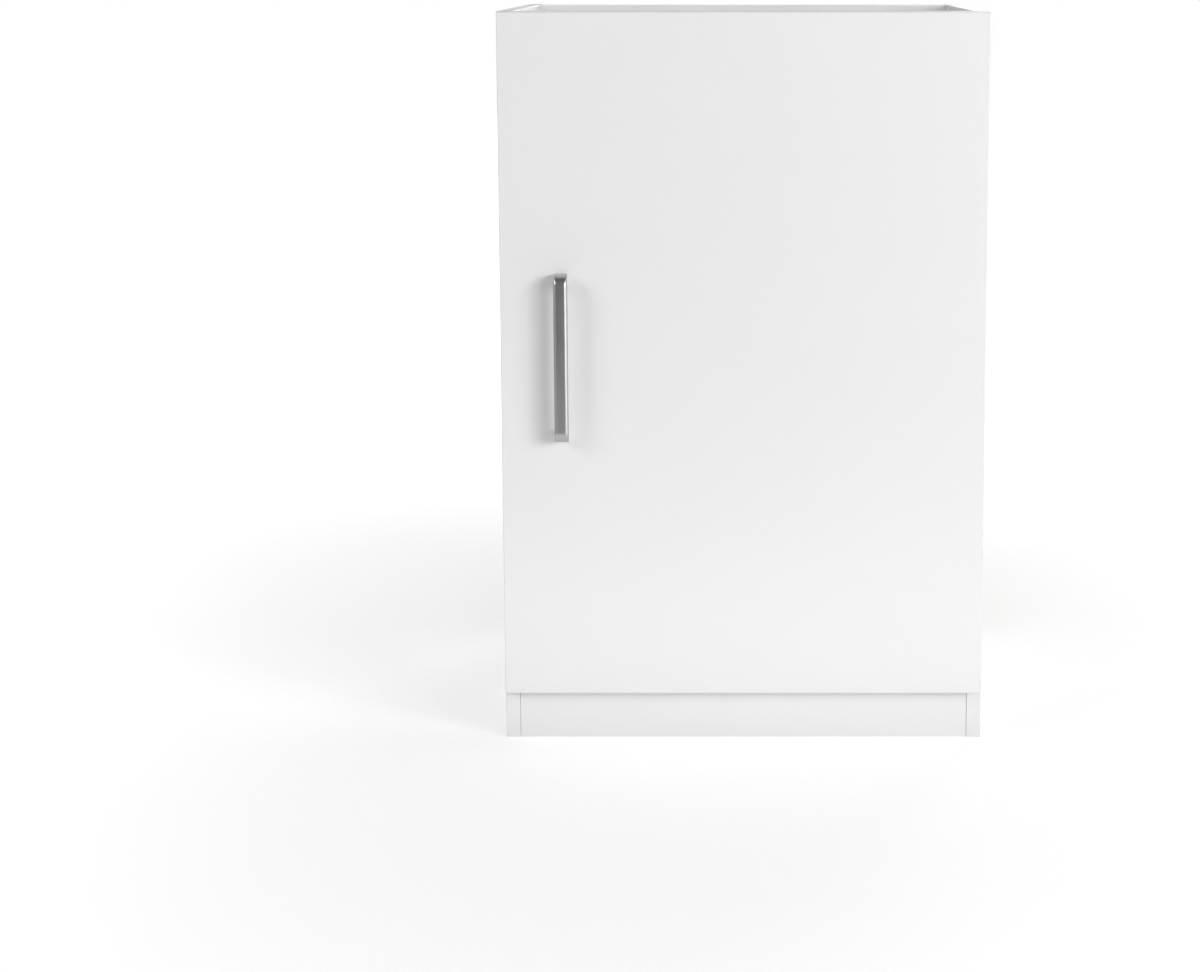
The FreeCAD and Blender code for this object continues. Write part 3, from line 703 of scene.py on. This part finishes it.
def bow_stations(reach, length):
    """Sections up the bow: outer and inner points as depth and height, outward way, edge rounding."""
    bend_middle = Vector((reach - HANDLE_BEND, HANDLE_BEND))
    inner_reach = reach - HANDLE_THICKNESS - HANDLE_INNER_BEND
    inner_middle = Vector((inner_reach, HANDLE_FOOT_HEIGHT + HANDLE_INNER_BEND))
    down = Vector((0.0, -1.0))
    lower = [(Vector((0.0, 0.0)), Vector((0.0, HANDLE_FOOT_HEIGHT)), down, HANDLE_SHARP_EDGE)]
    for turn in quarter_turn(HANDLE_BEND_STEPS):
        out = Vector((math.sin(turn), -math.cos(turn)))
        edge = HANDLE_SHARP_EDGE + (HANDLE_EDGE - HANDLE_SHARP_EDGE) * math.sin(turn)**2
        lower.append((bend_middle + out * HANDLE_BEND, inner_middle + out * HANDLE_INNER_BEND, out, edge))
    foot_outer, foot_inner, out, edge = lower[1]
    back = Vector((-HANDLE_CREASE, 0.0))
    lower.insert(1, (foot_outer + back, foot_inner + back, out, edge))
    bar_outer, bar_inner, out, edge = lower[-1]
    along = Vector((0.0, HANDLE_CREASE))
    lower.append((bar_outer + along, bar_inner + along, out, edge))
    upper = []
    for outer, inner, out, edge in reversed(lower):
        flipped = [Vector((point.x, length - point.y)) for point in (outer, inner)]
        upper.append((*flipped, Vector((out.x, -out.y)), edge))
    return lower + upper


def bow_section(outer, inner, out, edge):
    """Half a section from the inner face round the flank to the crowned front: points and insets."""
    soft = HANDLE_SHARP_EDGE
    half = [(inner, soft + HANDLE_CREASE)]
    for turn in quarter_turn(HANDLE_EDGE_STEPS):
        half.append((inner + out * soft * (1 - math.cos(turn)), soft * (1 - math.sin(turn))))
    half.append((inner + out * (soft + HANDLE_CREASE), 0.0))
    crown = HANDLE_CROWN * (edge - HANDLE_SHARP_EDGE) / (HANDLE_EDGE - HANDLE_SHARP_EDGE)
    front = [(edge + HANDLE_CREASE, 0.0)]
    for turn in quarter_turn(HANDLE_EDGE_STEPS):
        front.append((edge * (1 - math.sin(turn)), edge * (1 - math.cos(turn))))
    for share in HANDLE_CROWN_STEPS:
        front.append((0.0, edge + (HANDLE_WIDTH / 2 - edge) * share))
    for sink, inset in front:
        sink += crown * (1 - 2 * inset / HANDLE_WIDTH)**2
        half.append((outer - out * sink, inset))
    return half


def bow_handle():
    mesh = bmesh.new()
    low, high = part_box("handle")
    reach = high.y - low.y
    rings = []
    for station in bow_stations(reach, high.z - low.z):
        half = bow_section(*station)
        ring = []
        for side, points in ((1, half), (-1, reversed(half))):
            for point, inset in points:
                share = point.x / reach
                width = HANDLE_FOOT_WIDTH + (HANDLE_WIDTH - HANDLE_FOOT_WIDTH) * share
                across = (low.x + high.x) / 2 + side * (width / 2 - inset)
                ring.append(mesh.verts.new((across, high.y - point.x, low.z + point.y)))
        rings.append(ring)
    for lower, upper in zip(rings, rings[1:]):
        for step in range(len(lower)):
            mesh.faces.new((lower[step - 1], lower[step], upper[step], upper[step - 1]))
    mesh.faces.new(rings[0])
    mesh.faces.new(rings[-1])
    return mesh


satin_nickel = plated_finish("satin_nickel", SATIN_NICKEL, SATIN_NICKEL_SHADE, roughness=0.24,
                             grain=BRUSH_GRAIN, stretch=BRUSH_STRETCH, relief=0.05)
finish_piece("brushed_bow_handle", bow_handle(), satin_nickel, "door", "handle_metal", "handle")
screw_piece("handle_machine_screws", "handle_screws", "door", MACHINE_SCREW_PITCH)


# Door bumpers
# Two clear soft domes of cast polyurethane, stuck behind the free edge of the door, which meet the side
# panel without a sound.
RUBBER = (0.90, 0.90, 0.90, 1.0)
RUBBER_SHADE = (0.84, 0.85, 0.85, 1.0)
RUBBER_CLOUD = 300.0
RUBBER_ROUGHNESS = 0.18
RUBBER_CLEARNESS = 0.6
RUBBER_IOR = 1.48


def rubber_finish():
    material, shader, place = new_finish("clear_rubber")
    cloud = noise(place, RUBBER_CLOUD)
    place.feed(shader, {
        "Base Color": blend(cloud, RUBBER_SHADE, RUBBER),
        "Roughness": RUBBER_ROUGHNESS + cloud * 0.1,
        "Transmission Weight": RUBBER_CLEARNESS,
        "IOR": RUBBER_IOR,
        "Normal": bump(cloud, strength=0.05, distance=0.0001),
    })
    return material


paint(rubber_finish(), "door_bumpers")


# Studio
# A white floor that keeps the cabinet's shadow, with a painted glow that is dimmer before the cabinet and
# fades into a white background. Soft boxes stand in front and behind, gridded ones light the open top and
# the left side alone, strips stand for light off the floor before the door, and cards give the metal
# something to reflect.
scene = bpy.context.scene
scene.view_settings.view_transform = "Standard"
WHITE = (1.0, 1.0, 1.0, 1.0)
UP = Vector((0.0, 0.0, 1.0))
FLOOR_REACH = 12.0
FLOOR_TONE = (0.80, 0.80, 0.80, 1.0)
FLOOR_ROUGHNESS = 0.9
FLOOR_GLOW = 0.441
FLOOR_GLOW_RISE = 0.108
FLOOR_GLOW_LEAST = 0.34
FLOOR_GLOW_MOST = 0.492
FADE_SHIFT = 0.033
FADE_WIDTH = 2.06
FADE_DEPTH = 3.54
AMBIENT = 0.25


def seen_directly(wire):
    """1 for rays from the camera and for mirror-like and see-through rays, and 0 for lighting rays."""
    path = wire.node("LightPath")
    names = ("Is Camera Ray", "Is Glossy Ray", "Is Transmission Ray")
    camera, glossy, through = (path.output(name) for name in names)
    return camera.math("MAXIMUM", camera, camera.math("MAXIMUM", glossy, through))


def stage_mesh(name, corners, material):
    data = bpy.data.meshes.new(name)
    data.from_pydata(corners, [], [tuple(range(len(corners)))])
    data.materials.append(material)
    stage = bpy.data.objects.new(name, data)
    scene.collection.objects.link(stage)
    return stage


def floor_finish():
    """White that keeps shadows, with a painted glow for the camera: dimmer before the cabinet, brighter
    behind it, and grown to full white with the distance.
    """
    material, shader, place = new_finish("white_floor")
    tree = material.node_tree
    place.feed(shader, {"Base Color": FLOOR_TONE, "Roughness": FLOOR_ROUGHNESS, "Specular IOR Level": 0.0})
    # Painted glow that rises from front to back, so the floor before the cabinet is painted a shade greyer
    # than behind it
    glow = place.node("SeparateXYZ", sockets={"Vector": place}, out="Y") * FLOOR_GLOW_RISE + FLOOR_GLOW
    glow = glow.node("Clamp", sockets={"Value": glow, "Min": FLOOR_GLOW_LEAST, "Max": FLOOR_GLOW_MOST})
    oval = place.node("Mapping", sockets={
        "Vector": place,
        "Location": (FADE_SHIFT / FADE_WIDTH, 0.0, 0.0),
        "Scale": (1 / FADE_WIDTH, 1 / FADE_DEPTH, 1.0),
    })
    far = oval.node("VectorMath", {"operation": "LENGTH"}, {0: oval}, out="Value")
    strength = glow + (1 - glow) * smooth_step(far)
    light = place.node("Emission", sockets={"Strength": strength * seen_directly(place)})
    surface = place.node("AddShader", sockets={0: Wire(tree, shader.outputs[0]), 1: light})
    tree.links.new(surface.socket, tree.nodes["Material Output"].inputs["Surface"])
    return material


floor_corners = [(x * FLOOR_REACH, y * FLOOR_REACH, 0.0) for x, y in ((-1, -1), (1, -1), (1, 1), (-1, 1))]
stage_mesh("floor", floor_corners, floor_finish())

world = bpy.data.worlds.new("white_room")
world.use_nodes = True
scene.world = world
sky = world.node_tree
sky_wire = Wire(sky)
lighting = sky.nodes["Background"]
sky_wire.feed(lighting, {"Color": WHITE, "Strength": AMBIENT})
backdrop = sky_wire.node("Background", sockets={"Color": WHITE, "Strength": 1.0})
room_shaders = {0: seen_directly(sky_wire), 1: Wire(sky, lighting.outputs[0]), 2: backdrop}
room = sky_wire.node("MixShader", sockets=room_shaders)
sky.links.new(room.socket, sky.nodes["World Output"].inputs["Surface"])


def softbox(name, place, target, width, height, power):
    lamp = bpy.data.lights.new(name, "AREA")
    lamp.shape = "RECTANGLE"
    lamp.size = width
    lamp.size_y = height
    lamp.energy = power
    holder = bpy.data.objects.new(name, lamp)
    holder.location = place
    holder.rotation_euler = (target - place).to_track_quat("-Z", "Y").to_euler()
    holder.visible_camera = False
    scene.collection.objects.link(holder)
    return holder


def around(azimuth, elevation, distance):
    """A place seen from the handle: degrees to the right of the door's normal, degrees up and metres."""
    side, rise = math.radians(azimuth), math.radians(elevation)
    low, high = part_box("handle")
    step = Vector((math.cos(rise) * math.sin(side), -math.cos(rise) * math.cos(side), math.sin(rise)))
    return (low + high) / 2 + step * distance


AIM = Vector((0.0, -0.22, 0.40))

right_place = around(azimuth=38.0, elevation=11.0, distance=4.5)
side_place = around(azimuth=52.0, elevation=14.0, distance=4.5)
left_place = around(azimuth=-50.0, elevation=24.0, distance=4.0)
rear_place = around(azimuth=160.0, elevation=13.0, distance=4.5)
softbox("right_softbox", right_place, AIM, width=1.84, height=1.22, power=70.0)
softbox("side_softbox", side_place, AIM, width=1.22, height=1.63, power=45.3)
softbox("left_softbox", left_place, AIM, width=1.56, height=1.56, power=37.5)
softbox("rear_softbox", rear_place, AIM, width=1.6, height=1.2, power=38.0)

GRID_SPREAD = 4.0
GRID_DISTANCE = 0.9


def grid_box(name, low, high, out, width, height, power):
    """A soft box with a honeycomb grid, square to the box between two corners, that lights little else."""
    middle = (low + high) / 2
    lamp = softbox(name, middle + out * GRID_DISTANCE, middle, width, height, power)
    lamp.data.spread = math.radians(GRID_SPREAD)


flank_low, flank_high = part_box("left_side_panel")
opening_low = Vector((flank_high.x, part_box("front_rail")[1].y, flank_high.z))
opening_high = Vector((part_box("right_side_panel")[0].x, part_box("rear_rail")[0].y, flank_high.z))
opening = opening_high - opening_low
flank = flank_high - flank_low
grid_box("top_grid_box", opening_low, opening_high, UP, opening.x, opening.y, power=0.28)
grid_box("flank_grid_box", flank_low, flank_high, Vector((-1.0, 0.0, 0.0)), flank.y, flank.z, power=0.24)

BOUNCE_WIDTH = 1.3
BOUNCE_HEIGHT = 0.003


def floor_bounce(gap, depth, power):
    """A strip on the floor that shines up, at a gap before the door, and that no reflection shows."""
    strip = Vector((0.0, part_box("door_panel")[0].y - gap, BOUNCE_HEIGHT))
    softbox("floor_bounce", strip, strip + UP, BOUNCE_WIDTH, depth, power).visible_glossy = False


floor_bounce(gap=0.015, depth=0.06, power=0.012)
floor_bounce(gap=0.185, depth=0.13, power=0.54)

CARD_LEFT = -1.05
CARD_FRONT = -1.35
CARD_TOP = 2.0
CARD_TONE = 0.15
CARD_FOOT_TONE = 0.60
CARD_FOOT_HEIGHT = 0.28
FRONT_CARD_WIDTH = 1.4
CEILING_CARD_WIDTH = 2.1
CEILING_CARD_DEPTH = 2.6
LEFT_CARD_DEPTH = 1.6
LEFT_CARD_HEIGHT = 0.75
LEFT_CARD_TONE = 0.5


def card(name, corner, across, along, tone, foot_tone):
    """A flat card that only reflections show: its tone, and the tone that it fades to at the floor."""
    material, shader, place = new_finish(name)
    tree = material.node_tree
    height = place.node("SeparateXYZ", sockets={"Vector": place}, out="Z")
    fade = smooth_step(height, from_max=CARD_FOOT_HEIGHT, to_min=foot_tone, to_max=tone)
    light = place.node("Emission", sockets={"Strength": fade})
    tree.links.new(light.socket, tree.nodes["Material Output"].inputs["Surface"])
    sheet = stage_mesh(name, [corner, corner + across, corner + across + along, corner + along], material)
    sheet.visible_camera = False
    sheet.visible_diffuse = False
    sheet.visible_shadow = False
    sheet.visible_transmission = False


card_corner = Vector((CARD_LEFT, CARD_FRONT, 0.0))
top_corner = card_corner + UP * CARD_TOP
front_width = Vector((FRONT_CARD_WIDTH, 0.0, 0.0))
ceiling_width = Vector((CEILING_CARD_WIDTH, 0.0, 0.0))
ceiling_depth = Vector((0.0, CEILING_CARD_DEPTH, 0.0))
left_depth = Vector((0.0, LEFT_CARD_DEPTH, 0.0))
card("front_card", card_corner, front_width, UP * CARD_TOP, CARD_TONE, CARD_FOOT_TONE)
card("ceiling_card", top_corner, ceiling_width, ceiling_depth, CARD_TONE, CARD_TONE)
card("left_card", card_corner, left_depth, UP * LEFT_CARD_HEIGHT, LEFT_CARD_TONE, LEFT_CARD_TONE)


# Camera
# It stands a little above the open top, straight in front of the cabinet, and looks slightly down. The
# lens shift puts the cabinet where it stands in the photograph's frame.
CAMERA_DISTANCE = 2.871
CAMERA_HEIGHT = 0.8091
CAMERA_PITCH = 9.648
CAMERA_LENS = 84.73
IMAGE_WIDTH = 1200
IMAGE_HEIGHT = 972
CENTRE_X = 743.4
CENTRE_Y = 440.0

camera = bpy.data.objects.new("camera", bpy.data.cameras.new("camera"))
camera.location = (0.0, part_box("door_panel")[0].y - CAMERA_DISTANCE, CAMERA_HEIGHT)
camera.rotation_euler = (math.radians(90.0 - CAMERA_PITCH), 0.0, 0.0)
camera.data.lens = CAMERA_LENS
camera.data.shift_x = (IMAGE_WIDTH / 2 - CENTRE_X) / IMAGE_WIDTH
camera.data.shift_y = (CENTRE_Y - IMAGE_HEIGHT / 2) / IMAGE_WIDTH
scene.collection.objects.link(camera)
scene.camera = camera
